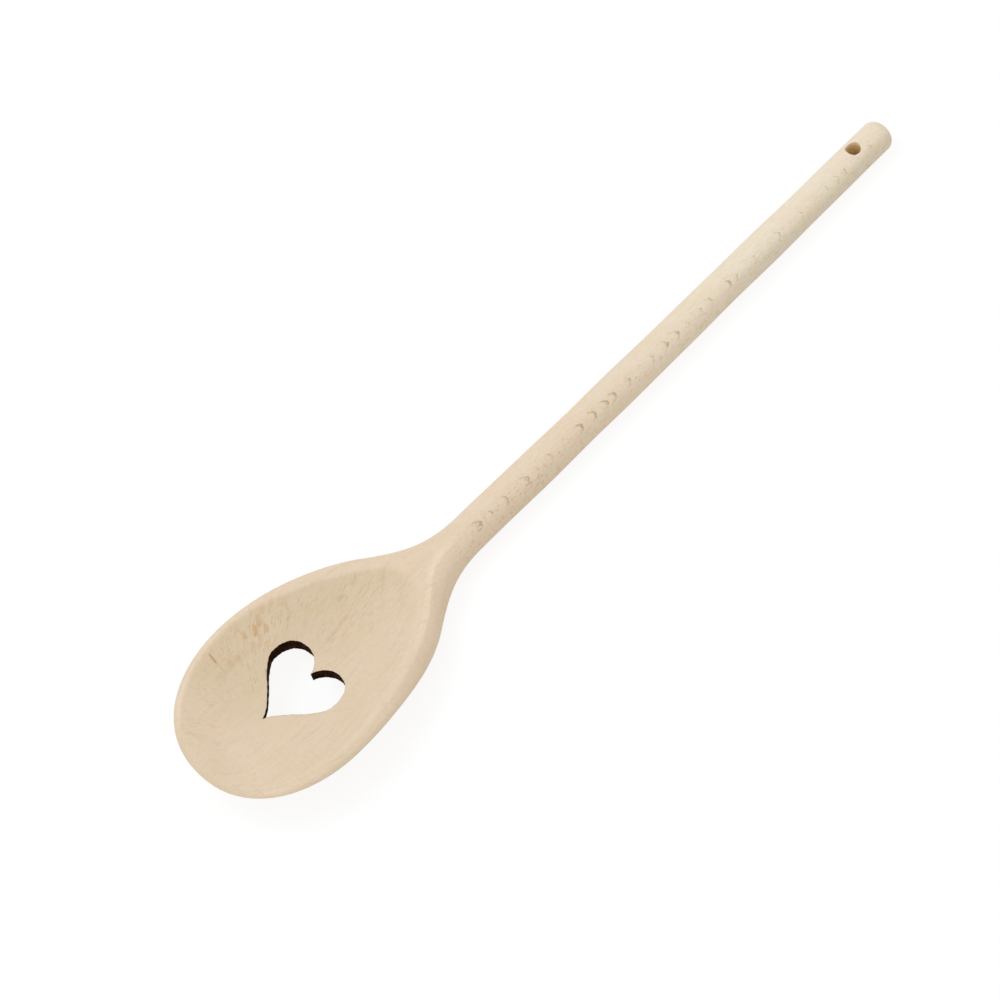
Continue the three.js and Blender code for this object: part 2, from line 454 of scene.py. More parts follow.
@dataclass
class Dish:
    """The shallow hollow in the head, with a softened crease along the flat of the rim."""

    head: Head
    hollow: float = 5.95
    deepest_at: float = 37.4
    end: float = 91
    end_pull: float = 8
    tip_land: float = 1
    rim_land: float = 3.2
    tip_pull: float = 20
    crown_pull: float = 17
    cheek_pull: float = 23
    crease_softness: float = 0.15
    run_out: float = 0.05
    tip_run_in: float = 12
    # Where the dish's deeper colour, partly painted shade, shows: by depth, across the hollow, towards the
    # tip and on the tip's rim.
    shade_depths: Spot = (0.03, 0.45)
    near_shade: float = 0.36
    shade_turn: Spot = (-12, 14)
    tip_shade: float = 0.3
    tip_shade_run: Spot = (5, 28)
    tip_rim_shade: float = 0.6
    tip_rim_run: Spot = (1, 12)

    def __post_init__(self) -> None:
        """Traces the crease once."""
        half, widest_at = self.head.width / 2 - self.rim_land, self.head.widest_at
        land, widest = self.tip_land, (widest_at, half)
        bends = [
            Bend((land, 0), (land, self.tip_pull), (widest_at - self.crown_pull, half), widest),
            Bend(widest, (widest_at + self.cheek_pull, half), (self.end, self.end_pull), (self.end, 0)),
        ]
        self._fine = trace(bends, self.head.fine_steps)
        self._skew = math.log(0.5) / math.log(self.deepest_at / self.end)

    def crease(self, x: np.ndarray) -> np.ndarray:
        """Half width of the hollow at x, zero outside it."""
        return np.interp(x, self._fine[:, 0], self._fine[:, 1], left=0, right=0)

    def middle_depth(self, x: np.ndarray) -> np.ndarray:
        """Depth of the hollow in the middle plane, running out softly at the tip and on the neck.

        Args:
            x: Places along the spoon.

        Returns:
            One depth for each place.
        """
        along = np.clip(x / self.end, 0, 1) ** self._skew
        left = 1 - along
        w = self.run_out
        soft = np.where(left < w, left * left / (2 * w), left - w / 2) / (1 - w / 2)
        return 4 * self.hollow * along * soft * smooth(x, 0, self.tip_run_in)

    def depth(self, x: np.ndarray, y: np.ndarray) -> np.ndarray:
        """Depth of the hollow under the flat of the rim.

        Args:
            x: Distance from the tip, one number or one for each y.
            y: Distances from the middle plane.

        Returns:
            One depth for each y.
        """
        crease = np.maximum(self.crease(x), TINY)
        bowl = 1 - (y / crease) ** 2
        w = np.minimum(1, 2 * self.crease_softness / crease)
        soft = np.where(bowl > w, bowl, np.where(bowl < -w, 0, (bowl + w) ** 2 / (4 * w)))
        return self.middle_depth(x) * soft * (self.crease(x) > 0)

    def shade(self, x: np.ndarray, y: np.ndarray) -> np.ndarray:
        """How much of the dish's deeper colour the wood has: partly its own tone, partly painted shade in the
        hollow.

        Args:
            x, y: Places in plan of points on the upper side.

        Returns:
            One share for each point.
        """
        share = smooth(self.depth(x, y), *self.shade_depths)
        # Less of it on the hollow's near side, whose wall faces the lamp.
        share = share * between(self.near_shade, 1, smooth(y, *self.shade_turn))
        share = share * between(self.tip_shade, 1, smooth(x, *self.tip_shade_run))
        # Painted shade: the flat of the rim at the tip takes the dish's colour where the lamp would light it.
        return np.maximum(share, self.tip_rim_shade * (1 - smooth(x, *self.tip_rim_run)))


@dataclass
class Heart:
    """The heart cut through the dish, its tip towards the tip of the spoon."""

    tip_at: float = 25.4
    length: float = 25.4
    width: float = 29
    widest: float = 17.3
    lobe_spacing: float = 14
    cleft_depth: float = 5.6
    tip_reach: float = 7.1
    tip_angle: float = math.radians(23.3)
    side_pull: float = 5.65
    lobe_pull: float = 5.1
    cleft_pull: float = 3.2
    cleft_flare: float = 0.6
    lean: float = math.radians(5.3)
    floor: float = 5.4
    steps: int = 36
    height: float = 40
    burn_wander: float = 0.05
    burn_turns: Spot = (1.7, 0.61)
    burn_middle: float = 0.55
    gap_reach: float = 8
    gap_limit: float = 9.0

    def outline(self) -> np.ndarray:
        """The closed outline in plan.

        Returns:
            Rows of x and y, the first and the last the same.
        """
        half, lobe = self.width / 2, self.lobe_spacing / 2
        widest, top = self.tip_at + self.widest, self.tip_at + self.length
        cleft = top - self.cleft_depth
        reach = (
            self.tip_at + self.tip_reach * math.cos(self.tip_angle),
            self.tip_reach * math.sin(self.tip_angle),
        )
        bends = [
            Bend((self.tip_at, 0), reach, (widest - self.side_pull, half), (widest, half)),
            Bend((widest, half), (widest + self.lobe_pull, half), (top, lobe + self.lobe_pull), (top, lobe)),
            Bend(
                (top, lobe),
                (top, lobe - self.cleft_pull),
                (cleft + self.cleft_depth / 2, self.cleft_flare),
                (cleft, 0),
            ),
        ]
        left = trace(bends, self.steps)
        right = left[-2::-1] * (1, -1)
        return np.vstack([left, right])

    def cutter(self) -> bpy.types.Object:
        """The prism that cuts the heart.

        Its sides wander a little, as a burning beam leaves them. It leans square to the head, about
        the dish's floor.

        Returns:
            The cutter, in the scene.
        """
        spots = self.outline()[:-1]
        count = np.arange(len(spots))
        fast, slow = self.burn_turns
        wander = self.burn_wander * (np.sin(count * fast) + np.sin(count * slow + 1))
        outward = spots - (self.tip_at + self.length * self.burn_middle, 0)
        outward /= np.linalg.norm(outward, axis=1)[:, None]
        cutter = prism("heart_cutter", spots + outward * wander[:, None], self.height, Region.CHARRED)
        pivot = Matrix.Translation((self.tip_at + self.length / 2, 0, self.floor))
        cutter.data.transform(pivot @ Matrix.Rotation(self.lean, 4, "Y") @ pivot.inverted())
        return cutter

    def gap(self, spots: np.ndarray) -> np.ndarray:
        """Distance in plan from points of the spoon to the heart's outline.

        Args:
            spots: Points of the spoon.

        Returns:
            One distance for each point, up to a limit.
        """
        x, y = spots[:, 0], np.abs(spots[:, 1])
        near = (x > self.tip_at - self.gap_reach) & (y < self.width)
        near &= x < self.tip_at + self.length + self.gap_reach
        gap = np.full(len(spots), self.gap_limit)
        gap[near] = np.clip(chain_distance(self.outline(), spots[near, :2]), 0, self.gap_limit)
        return gap


@dataclass
class HangHole:
    """The drilled hole near the end of the handle."""

    handle: Handle
    diameter: float = 4.8
    from_end: float = 14
    steps: int = 56
    height: float = 40
    raggedness: float = 0.07
    rag_waves: tuple[Trio, ...] = ((1, 5, 0.4), (0.8, 9, 2), (0.6, 14, 0))
    tear: float = 0.4
    tear_at: float = math.radians(129)
    tear_spread: float = math.radians(20)

    def cutter(self) -> bpy.types.Object:
        """The slightly ragged drill that cuts the hole.

        Returns:
            The cutter, in the scene.
        """
        turns = np.linspace(0, 2 * math.pi, self.steps, endpoint=False)
        rag = sum(reach * np.sin(count * turns + start) for reach, count, start in self.rag_waves)
        radius = self.diameter / 2 + self.raggedness * rag / 2
        radius += self.tear * np.exp(-(((turns - self.tear_at) / self.tear_spread) ** 2))
        spots = np.stack([np.cos(turns) * radius, np.sin(turns) * radius], axis=1)
        spots[:, 0] += self.handle.spoon_length - self.from_end
        return prism("hole_cutter", spots, self.height, Region.DRILLED)


@dataclass(frozen=True)
class Rung:
    """One growth band that comes out on top of the handle."""

    at: float
    strength: float
    reach: float = 1.3


@dataclass(frozen=True)
class Patches:
    """Soft patches in the wood: their sizes and make, where they start and end, and what they show there."""

    sizes: Trio
    shift: Trio = (0, 0, 0)
    detail: float = 2.0
    rough: float = 0.5
    span: Spot = (0, 1)
    shows: Spot = (0, 1)


@dataclass(frozen=True)
class Strokes:
    """Scattered straight strokes: mean spacing, half length and width, the share kept, and a shift."""

    spacing: float
    size: Spot
    kept: float
    shift: float = 0.0


@dataclass(frozen=True)
class Flecks:
    """Scattered flecks: sizes of the box that holds each, a shift, a fleck's reach and the share kept."""

    sizes: Trio
    shift: Trio
    reach: float
    kept: float


class Wiring:
    """Short ways to add and join the shader nodes of one material or world."""

    # Shares of a stroke's half length and half width, and of a fleck's reach, that are at full strength.
    stroke_core: Spot = (0.5, 0.3)
    fleck_core: float = 0.35
    # A mark is at full strength from a random draw of this much, less half of the share kept.
    full_draw: float = 1.25
    # Room before the first band and after the last one of each colour ramp.
    rung_margin: float = 1

    def __init__(self, owner: Union[bpy.types.Material, bpy.types.World]) -> None:
        """Starts with an empty node tree.

        Args:
            owner: The material or world.
        """
        owner.use_nodes = True
        self.tree = owner.node_tree
        self.tree.nodes.clear()

    def feed(self, socket: Socket, value: Feed) -> None:
        """Joins a socket to an input, or sets the input to a plain value.

        Args:
            socket: The input.
            value: Another node's output, or the plain value.
        """
        if isinstance(value, Socket):
            self.tree.links.new(value, socket)
        else:
            socket.default_value = value

    def add(
        self, kind: str, inputs: Sequence[tuple[Union[str, int], Feed]] = (), **settings: object
    ) -> bpy.types.Node:
        """Adds one node.

        Args:
            kind: The node's type.
            inputs: Pairs of an input's name or number and what feeds it.
            settings: The node's own settings.

        Returns:
            The new node.
        """
        node = self.tree.nodes.new(kind)
        for name, value in settings.items():
            setattr(node, name, value)
        for name, value in inputs:
            self.feed(node.inputs[name], value)
        return node

    def value(self, mark: Mark) -> Socket:
        """Reads a number that the spoon's points carry."""
        return self.add("ShaderNodeAttribute", attribute_name=mark.value).outputs["Fac"]

    def place(self, mark: Mark) -> Socket:
        """Reads a place that the spoon's points carry."""
        return self.add("ShaderNodeAttribute", attribute_name=mark.value).outputs["Vector"]

    def parts(self, place: Feed) -> Sequence[Socket]:
        """The three numbers of a place."""
        return self.add("ShaderNodeSeparateXYZ", ((0, place),)).outputs

    def math(self, operation: str, *values: Feed) -> Socket:
        """One step of arithmetic."""
        return self.add("ShaderNodeMath", tuple(enumerate(values)), operation=operation).outputs[0]

    def vector(self, operation: str, *values: Feed) -> Socket:
        """One step of arithmetic with vectors."""
        node = self.add("ShaderNodeVectorMath", tuple(enumerate(values)), operation=operation)
        return node.outputs["Value" if operation in ("DOT_PRODUCT", "LENGTH") else "Vector"]

    def times(self, *values: Feed) -> Socket:
        """The product of several values.

        Args:
            values: The values, the first of them from a node.

        Returns:
            The product.
        """
        result = values[0]
        for value in values[1:]:
            result = self.math("MULTIPLY", result, value)
        return result

    def ramp(self, value: Feed, span: Spot, shows: Spot = (0.0, 1.0)) -> Socket:
        """A soft change.

        Args:
            value: What changes it.
            span: The values at which it starts and ends.
            shows: What comes out at the start and at the end.

        Returns:
            What comes out.
        """
        names = ("Value", "From Min", "From Max", "To Min", "To Max")
        pairs = tuple(zip(names, (value, *span, *shows)))
        return self.add("ShaderNodeMapRange", pairs, interpolation_type="SMOOTHSTEP").outputs["Result"]

    def blend(self, share: Feed, under: Feed, over: Feed, way: str = "MIX") -> Socket:
        """Lays one colour over another, by a share and in a way such as MIX or MULTIPLY."""
        pairs = ((0, share), (6, under), (7, over))
        return self.add("ShaderNodeMix", pairs, data_type="RGBA", blend_type=way).outputs[2]

    def tint(self, share: Feed, color: Feed, tint: Color) -> Socket:
        """Multiplies a colour by a tint, by a share."""
        return self.blend(share, color, tint, "MULTIPLY")

    def stretch(self, place: Feed, sizes: Sequence[float], shift: Sequence[float] = (0, 0, 0)) -> Socket:
        """Counts a place in units of the given sizes, moved by shift units."""
        pairs = ((0, place), (1, tuple(1 / size for size in sizes)), (2, tuple(shift)))
        return self.add("ShaderNodeVectorMath", pairs, operation="MULTIPLY_ADD").outputs[0]

    def clouds(self, place: Feed, kind: Patches) -> Socket:
        """Cloudy values about 0.5.

        Args:
            place: The place, in millimetres.
            kind: The patches, whose span isn't used.

        Returns:
            The value at the place.
        """
        spot = self.stretch(place, kind.sizes, kind.shift)
        pairs = (("Vector", spot), ("Scale", 1.0), ("Detail", kind.detail), ("Roughness", kind.rough))
        return self.add("ShaderNodeTexNoise", pairs).outputs[0]

    def patches(self, place: Feed, kind: Patches) -> Socket:
        """Soft patches, from what they show at the start of their span to what they show at its end."""
        return self.ramp(self.clouds(place, kind), kind.span, kind.shows)

    def shaken(self, place: Feed, size: float, reach: float) -> Socket:
        """A place moved about in plan.

        Args:
            place: The place, in millimetres.
            size: Size of the waves that move it.
            reach: How far it moves at most.

        Returns:
            The moved place.
        """
        pairs = (("Vector", self.stretch(place, (size,) * 3)), ("Scale", 1.0))
        waves = self.vector("SUBTRACT", self.add("ShaderNodeTexNoise", pairs).outputs["Color"], (0.5,) * 3)
        return self.vector("MULTIPLY_ADD", waves, (2 * reach, 2 * reach, 0), place)

    def rungs(self, place: Feed, bands: Sequence[Rung], fall: float) -> Socket:
        """Bands across a line, each at its own place on it.

        Args:
            place: The place on the line.
            bands: The bands in order.
            fall: How far each band fades out beyond its place.

        Returns:
            The strength of the band at the place, 0 between the bands.
        """
        total: Feed = 0.0
        for first in range(0, len(bands), BANDS_IN_RAMP):
            group = bands[first : first + BANDS_IN_RAMP]
            start = group[0].at - group[0].reach - self.rung_margin
            end = group[-1].at + fall + self.rung_margin
            share = self.math("DIVIDE", self.math("SUBTRACT", place, start), end - start)
            ramp = self.add("ShaderNodeValToRGB", ((0, share),))
            stops = ramp.color_ramp.elements
            stops[0].position, stops[0].color = 0, (0, 0, 0, 1)
            stops[-1].position, stops[-1].color = 1, (0, 0, 0, 1)
            for band in group:
                for at, tone in ((band.at - band.reach, 0), (band.at, band.strength), (band.at + fall, 0)):
                    stops.new((at - start) / (end - start)).color = (tone, tone, tone, 1)
            total = self.math("MAXIMUM", total, ramp.outputs[0])
        return total

    def drawn(self, draw: Feed, kept: float) -> Socket:
        """Strength of each mark in a scatter, from its own random colour, 0 for those left out."""
        share = self.add("ShaderNodeSeparateColor", (("Color", draw),)).outputs[0]
        return self.ramp(share, (1 - kept, min(1.0, self.full_draw - kept / 2)))

    def stroke(self, away: Feed, toward: Feed, length: float, width: float) -> Socket:
        """One straight stroke.

        Args:
            away: The way from the middle of the stroke.
            toward: The stroke's direction, of length 1.
            length, width: Half length and half width of the stroke.

        Returns:
            1 in the middle of the stroke, 0 outside it.
        """
        along, whole = self.vector("DOT_PRODUCT", away, toward), self.vector("LENGTH", away)
        across = self.math("SUBTRACT", self.times(whole, whole), self.times(along, along))
        across = self.math("SQRT", self.math("MAXIMUM", across, 0.0))
        long_core, wide_core = self.stroke_core
        ends = self.ramp(self.math("ABSOLUTE", along), (length, length * long_core))
        return self.times(self.ramp(across, (width, width * wide_core)), ends)

    def strokes(self, place: Feed, toward: Feed, kind: Strokes) -> Socket:
        """Scattered straight strokes that follow a field of directions.

        Args:
            place: The place in plan, in millimetres.
            toward: The direction of the strokes there, of length 1.
            kind: The strokes.

        Returns:
            1 in the middle of the strongest strokes, 0 between them.
        """
        spot = self.stretch(place, (kind.spacing,) * 3, (kind.shift, kind.shift, 0))
        pairs = (("Vector", spot), ("Scale", 1.0))
        cells = self.add("ShaderNodeTexVoronoi", pairs, voronoi_dimensions="2D").outputs
        away = self.vector("SUBTRACT", spot, cells["Position"])
        body = self.stroke(away, toward, kind.size[0] / kind.spacing, kind.size[1] / kind.spacing)
        return self.times(body, self.drawn(cells["Color"], kind.kept))

    def flecks(self, place: Feed, kind: Flecks) -> Socket:
        """Scattered flecks.

        Args:
            place: The place, in millimetres.
            kind: The flecks.

        Returns:
            1 in the middle of the strongest flecks, 0 between them.
        """
        spot = self.stretch(place, kind.sizes, kind.shift)
        cells = self.add("ShaderNodeTexVoronoi", (("Vector", spot), ("Scale", 1.0))).outputs
        body = self.ramp(cells["Distance"], (kind.reach, kind.reach * self.fleck_core))
        return self.times(body, self.drawn(cells["Color"], kind.kept))

    def surface(self, color: Feed, rough: Feed, shine: float, height: Feed, relief: Spot) -> None:
        """Ends a material in its surface.

        Args:
            color: The surface's colour.
            rough, shine: Its roughness and its sheen.
            height: The fine relief on it.
            relief: Strength of that relief, and its depth in metres.
        """
        strength, depth = relief
        bump = self.add("ShaderNodeBump", (("Strength", strength), ("Distance", depth), ("Height", height)))
        pairs = (("Base Color", color), ("Roughness", rough), ("Specular IOR Level", shine))
        shader = self.add("ShaderNodeBsdfPrincipled", (*pairs, ("Normal", bump.outputs[0])))
        self.add("ShaderNodeOutputMaterial", (("Surface", shader.outputs[0]),))


@dataclass(frozen=True)
class SandedBeech:
    """Fine sanded raw beech, with its ray flecks, growth bands and fibres."""

    name: str = "sanded_beech"
    plain: Color = paint(229, 210, 185)
    on_handle: Color = paint(233, 214, 190)
    handle_run: Spot = (85, 125)
    pale_end: Color = paint(240, 228, 208)
    end_run: Spot = (130, 255)
    # The dish's deeper colour: partly the wood's own tone, partly painted shade in the hollow.
    in_dish_tone_and_shade: Color = paint(218, 199, 171)
    # Painted shade for the handle's right side.
    painted_shade_tint: Color = (0.87, 0.86, 0.83, 1)
    rosy: Color = (1.0, 0.975, 0.955, 1)
    rosy_patches: Patches = Patches((19, 8, 5), detail=2.5, rough=0.55, span=(0.42, 0.7), shows=(0, 0.9))
    straw: Color = (0.985, 0.99, 0.955, 1)
    straw_patches: Patches = Patches((14, 7, 4), (31, 7, 3), 2.5, 0.55, (0.45, 0.72), (0, 0.9))
    fibre_tint: Color = (0.93, 0.91, 0.87, 1)
    fibres: Patches = Patches((7, 0.35, 0.35), detail=3, rough=0.65, span=(0.38, 0.78), shows=(0, 0.75))
    mottle_tint: Color = (0.972, 0.965, 0.955, 1)
    mottle: Patches = Patches((1.7, 1.2, 1.2), (9, 3, 5), 3, 0.6, (0.42, 0.68))
    fleck_tint: Color = (0.87, 0.78, 0.68, 1)
    long_rays: Strokes = Strokes(2.1, (1.5, 0.22), 0.75)
    short_rays: Strokes = Strokes(0.95, (0.75, 0.15), 0.7, 3.3)
    short_share: float = 0.65
    ray_shake: Spot = (1.6, 0.25)
    ray_patches: Patches = Patches((16, 11, 2), (5, 9, 2), 1.5, span=(0.3, 0.65), shows=(0.35, 1))
    light_tint: Color = (1.035, 1.04, 1.05, 1)
    light_rays: Strokes = Strokes(1.7, (1.3, 0.2), 0.55, 11.3)
    flame_tint: Color = (0.88, 0.74, 0.58, 1)
    flame_bars: Strokes = Strokes(3.2, (3.2, 1.1), 0.85, 7.7)
    flame_share: float = 0.9
    dark_tint: Color = (0.74, 0.6, 0.47, 1)
    dark_stroke: Spot = (4, 28.2)
    dark_size: Spot = (2.3, 0.42)
    band_tint: Color = (0.67, 0.62, 0.51, 1)
    band_spacing: float = 2.1
    band_drift: Patches = Patches((30, 6, 6))
    drift_reach: float = 1.2
    band_rise: Spot = (0.76, 0.9)
    band_fall: Spot = (0.98, 0.93)
    band_patches: Patches = Patches((9, 5, 2.5), (3, 8, 1), span=(0.42, 0.62), shows=(0.1, 1))
    band_shows: Spot = (0.18, 0)
    neck_run: Spot = (88, 122)
    rungs: tuple[Rung, ...] = (
        Rung(115.5, 0.9, 3.4), Rung(120, 0.6), Rung(126.5, 0.7, 1.6), Rung(135.5, 0.95), Rung(140, 0.5),
        Rung(146, 0.6), Rung(153, 0.5), Rung(159.3, 1), Rung(165, 0.9), Rung(170.3, 0.9),
        Rung(174, 1), Rung(180.5, 0.65), Rung(191, 0.75), Rung(197.3, 0.95), Rung(202.5, 0.95),
        Rung(207, 0.4), Rung(213, 0.55), Rung(217.5, 0.65), Rung(225.8, 0.9), Rung(228.8, 0.8, 1),
        Rung(237.5, 0.6), Rung(248.5, 0.75), Rung(258.5, 0.5), Rung(265, 0.55), Rung(270.5, 0.5),
        Rung(275.5, 0.65), Rung(279, 0.6), Rung(290.5, 0.55),
    )
    rung_fall: float = 0.5
    arch_shake: Spot = (1.7, 0.5)
    arch_curve: Spot = (0.45, 0.12)
    arch_fade: float = 0.12
    arch_grit: Patches = Patches((0.9, 0.7, 0.7), (2, 6, 4), span=(0.4, 0.65), shows=(0, 0.36))
    arch_span: Spot = (0, 0.75)
    pore_tint: Color = (0.83, 0.77, 0.68, 1)
    long_pores: Flecks = Flecks((3.4, 0.9, 0.55), (0.3, 0.6, 0.2), 0.4, 0.5)
    short_pores: Flecks = Flecks((1.5, 0.6, 0.5), (5, 2, 8), 0.42, 0.55)
    pore_neck: Spot = (0.12, 1)
    pore_turn: Spot = (3, -1)
    pore_sides: Spot = (0.15, 1)
    pore_run: Spot = (130, 170)
    pore_ends: Spot = (1.6, 0.9)
    # Paler rubbed edges, with painted highlight along the rim's near side.
    rub_and_highlight_tint: Color = (1.115, 1.115, 1.125, 1)
    singe_tint: Color = (0.42, 0.3, 0.2, 1)
    smoke: Patches = Patches((1.4, 1.4, 1.4))
    smoke_share: float = 0.35
    singe_span: Spot = (0.42, 0.1)
    singe_shows: Spot = (0, 0.6)
    sanding: Patches = Patches((0.8, 0.5, 0.5), rough=0.6)
    fibre_height: float = 0.6
    ray_height: float = -0.35
    arch_height: float = -0.25
    sanding_height: float = 0.35
    relief: Spot = (0.8, 0.0001)
    wear: Patches = Patches((5, 1.2, 1.2), detail=3, span=(0.25, 0.75), shows=(0.55, 0.69))
    shine: float = 0.3

    def plain_wood(self, w: Wiring, figure: Feed) -> Socket:
        """The plain colour of the wood, from head to handle, with painted shade on the handle's right side
        and partly in the dish.

        Args:
            w: The material's wiring.
            figure: The place in the tree.

        Returns:
            The colour.
        """
        along = w.parts(figure)[0]
        color = w.blend(w.ramp(along, self.handle_run), self.plain, self.on_handle)
        color = w.blend(w.ramp(along, self.end_run), color, self.pale_end)
        # Painted shade on the handle's right side.
        color = w.tint(w.value(Mark.PAINTED_SHADE), color, self.painted_shade_tint)
        # The dish's deeper colour: partly the wood's own tone, partly painted shade in the hollow.
        color = w.blend(w.value(Mark.DISH_TONE_AND_SHADE), color, self.in_dish_tone_and_shade)
        color = w.tint(w.patches(figure, self.rosy_patches), color, self.rosy)
        return w.tint(w.patches(figure, self.straw_patches), color, self.straw)

    def rayed(self, w: Wiring, figure: Feed, color: Feed) -> tuple[Socket, Socket]:
        """Lays ray flecks, flame bars, one dark stroke and a fine mottle over a colour.

        Args:
            w: The material's wiring.
            figure: The place in the tree.
            color: The colour under them.

        Returns:
            The colour that comes out, and where the ray flecks are.
        """
        fan = w.place(Mark.FAN)
        toward = w.vector("NORMALIZE", fan)
        fan = w.shaken(fan, *self.ray_shake)
        short = w.times(w.strokes(fan, toward, self.short_rays), self.short_share)
        rays = w.math("MAXIMUM", w.strokes(fan, toward, self.long_rays), short)
        hold = w.times(w.patches(figure, self.ray_patches), w.value(Mark.RAYS))
        color = w.tint(w.times(rays, hold), color, self.fleck_tint)
        bars = w.times(w.strokes(fan, toward, self.flame_bars), w.value(Mark.FLAME), self.flame_share)
        color = w.tint(bars, color, self.flame_tint)
        away = w.vector("SUBTRACT", fan, (*self.dark_stroke, 0))
        color = w.tint(w.stroke(away, toward, *self.dark_size), color, self.dark_tint)
        light = w.times(w.strokes(fan, toward, self.light_rays), hold)
        color = w.tint(light, color, self.light_tint)
        return w.tint(w.patches(figure, self.mottle), color, self.mottle_tint), rays

    def bands(self, w: Wiring, figure: Feed) -> Socket:
        """The growth bands on the head.

        Args:
            w: The material's wiring.
            figure: The place in the tree.

        Returns:
            Their strength.
        """
        along, _, across = w.parts(figure)
        drift = w.times(w.clouds(figure, self.band_drift), self.drift_reach)
        phase = w.math("FRACT", w.math("ADD", w.math("DIVIDE", across, self.band_spacing), drift))
        band = w.times(w.ramp(phase, self.band_rise), w.ramp(phase, self.band_fall))
        hold = w.ramp(w.ramp(along, self.neck_run), (0, 1), self.band_shows)
        return w.times(band, w.patches(figure, self.band_patches), hold)

    def arches(self, w: Wiring, figure: Feed) -> Socket:
        """The crescents that the growth bands leave on top of the handle.

        Args:
            w: The material's wiring.
            figure: The place in the tree.

        Returns:
            Their strength.
        """
        along, aside, _ = w.parts(w.shaken(figure, *self.arch_shake))
        aside = w.times(aside, aside)
        round_part, steep_part = self.arch_curve
        bulge = w.times(aside, w.math("MULTIPLY_ADD", aside, steep_part, round_part))
        arch = w.rungs(w.math("ADD", along, bulge), self.rungs, self.rung_fall)
        lost = w.math("ADD", w.times(aside, self.arch_fade), w.patches(figure, self.arch_grit))
        return w.ramp(w.math("SUBTRACT", arch, lost), self.arch_span)

    def pores(self, w: Wiring, figure: Feed) -> Socket:
        """The short dark pores, most of them along the right side of the handle.

        Args:
            w: The material's wiring.
            figure: The place in the tree.

        Returns:
            Their strength.
        """
        along, aside, _ = w.parts(figure)
        pores = w.math("MAXIMUM", w.flecks(figure, self.long_pores), w.flecks(figure, self.short_pores))
        neck = w.ramp(w.ramp(along, self.neck_run), (0, 1), self.pore_neck)
        sides = w.ramp(aside, self.pore_turn, self.pore_sides)
        return w.times(pores, neck, sides, w.ramp(along, self.pore_run, self.pore_ends))

    def singe(self, w: Wiring, figure: Feed) -> Socket:
        """The singed line round the heart.

        Args:
            w: The material's wiring.
            figure: The place in the tree.

        Returns:
            Its strength.
        """
        smoke = w.times(w.clouds(figure, self.smoke), self.smoke_share)
        gap = w.math("ADD", w.value(Mark.HEART_GAP), smoke)
        return w.ramp(gap, self.singe_span, self.singe_shows)

    def material(self) -> bpy.types.Material:
        """Makes the finish.

        Returns:
            The material for the sanded surface.
        """
        material = bpy.data.materials.new(self.name)
        w = Wiring(material)
        figure = w.place(Mark.FIGURE)
        fibres = w.clouds(figure, self.fibres)
        arches = self.arches(w, figure)

        color = self.plain_wood(w, figure)
        color = w.tint(w.ramp(fibres, self.fibres.span, self.fibres.shows), color, self.fibre_tint)
        color, rays = self.rayed(w, figure, color)
        color = w.tint(self.bands(w, figure), color, self.band_tint)
        color = w.tint(arches, color, self.band_tint)
        color = w.tint(self.pores(w, figure), color, self.pore_tint)
        # Paler rubbed edges, with painted highlight along the rim's near side.
        color = w.tint(w.value(Mark.EDGE_RUB_AND_HIGHLIGHT), color, self.rub_and_highlight_tint)
        color = w.tint(self.singe(w, figure), color, self.singe_tint)

        height = w.times(fibres, self.fibre_height)
        heights = ((rays, self.ray_height), (arches, self.arch_height))
        for part, share in (*heights, (w.clouds(figure, self.sanding), self.sanding_height)):
            height = w.math("MULTIPLY_ADD", part, share, height)
        w.surface(color, w.patches(figure, self.wear), self.shine, height, self.relief)
        return material


@dataclass(frozen=True)
class CharredWall:
    """The heart's walls, burnt dark by the cut."""

    name: str = "charred_wall"
    dark: Color = paint(28, 13, 5)
    brown: Color = paint(66, 34, 14)
    scorch: Patches = Patches((0.5, 0.5, 4), detail=3, rough=0.6)
    soot: Patches = Patches((3, 3, 2))
    brown_span: Spot = (0.2, 0.42)
    roughness: float = 0.9
    shine: float = 0.05
    relief: Spot = (0.5, 0.0001)

    def material(self) -> bpy.types.Material:
        """Makes the finish.

        Returns:
            The material for the heart's walls.
        """
        material = bpy.data.materials.new(self.name)
        w = Wiring(material)
        figure = w.place(Mark.FIGURE)
        scorch = w.clouds(figure, self.scorch)
        burnt = w.times(scorch, w.clouds(figure, self.soot))
        color = w.blend(w.ramp(burnt, self.brown_span), self.dark, self.brown)
        w.surface(color, self.roughness, self.shine, scorch, self.relief)
        return material


@dataclass(frozen=True)
class DrilledWall:
    """The wall of the hanging hole, browned by the drill and open-grained, with painted light near its mouth.
    """

    name: str = "drilled_wall"
    # Painted light: the wall turns this pale towards the mouth, where it is lit, over the heights given
    # below.
    pale: Color = paint(246, 230, 206)
    golden: Color = paint(248, 226, 180)
    brown: Color = paint(227, 195, 145)
    torn: Patches = Patches((0.35, 0.35, 1.6), detail=3, rough=0.65, span=(0.3, 0.68))
    painted_light_mouth: Spot = (2.9, 4.9)
    roughness: float = 0.8
    shine: float = 0.2
    relief: Spot = (0.6, 0.00012)

    def material(self) -> bpy.types.Material:
        """Makes the finish.

        Returns:
            The material for the wall of the hole.
        """
        material = bpy.data.materials.new(self.name)
        w = Wiring(material)
        torn = w.clouds(w.place(Mark.FIGURE), self.torn)
        color = w.blend(w.ramp(torn, self.torn.span), self.golden, self.brown)
        # Painted light: paler towards the mouth of the hole.
        color = w.blend(w.ramp(w.value(Mark.HEIGHT), self.painted_light_mouth), color, self.pale)
        w.surface(color, self.roughness, self.shine, torn, self.relief)
        return material


@dataclass(frozen=True)
class Flame:
    """One patch of broad brown bars on the dish."""

    x: float
    y: float
    reach_x: float
    reach_y: float
    strength: float

    def share(self, x: np.ndarray, y: np.ndarray) -> np.ndarray:
        """Strength of the patch at places in plan."""
        spread = ((x - self.x) / self.reach_x) ** 2 + ((y - self.y) / self.reach_y) ** 2
        return self.strength * np.exp(-spread)


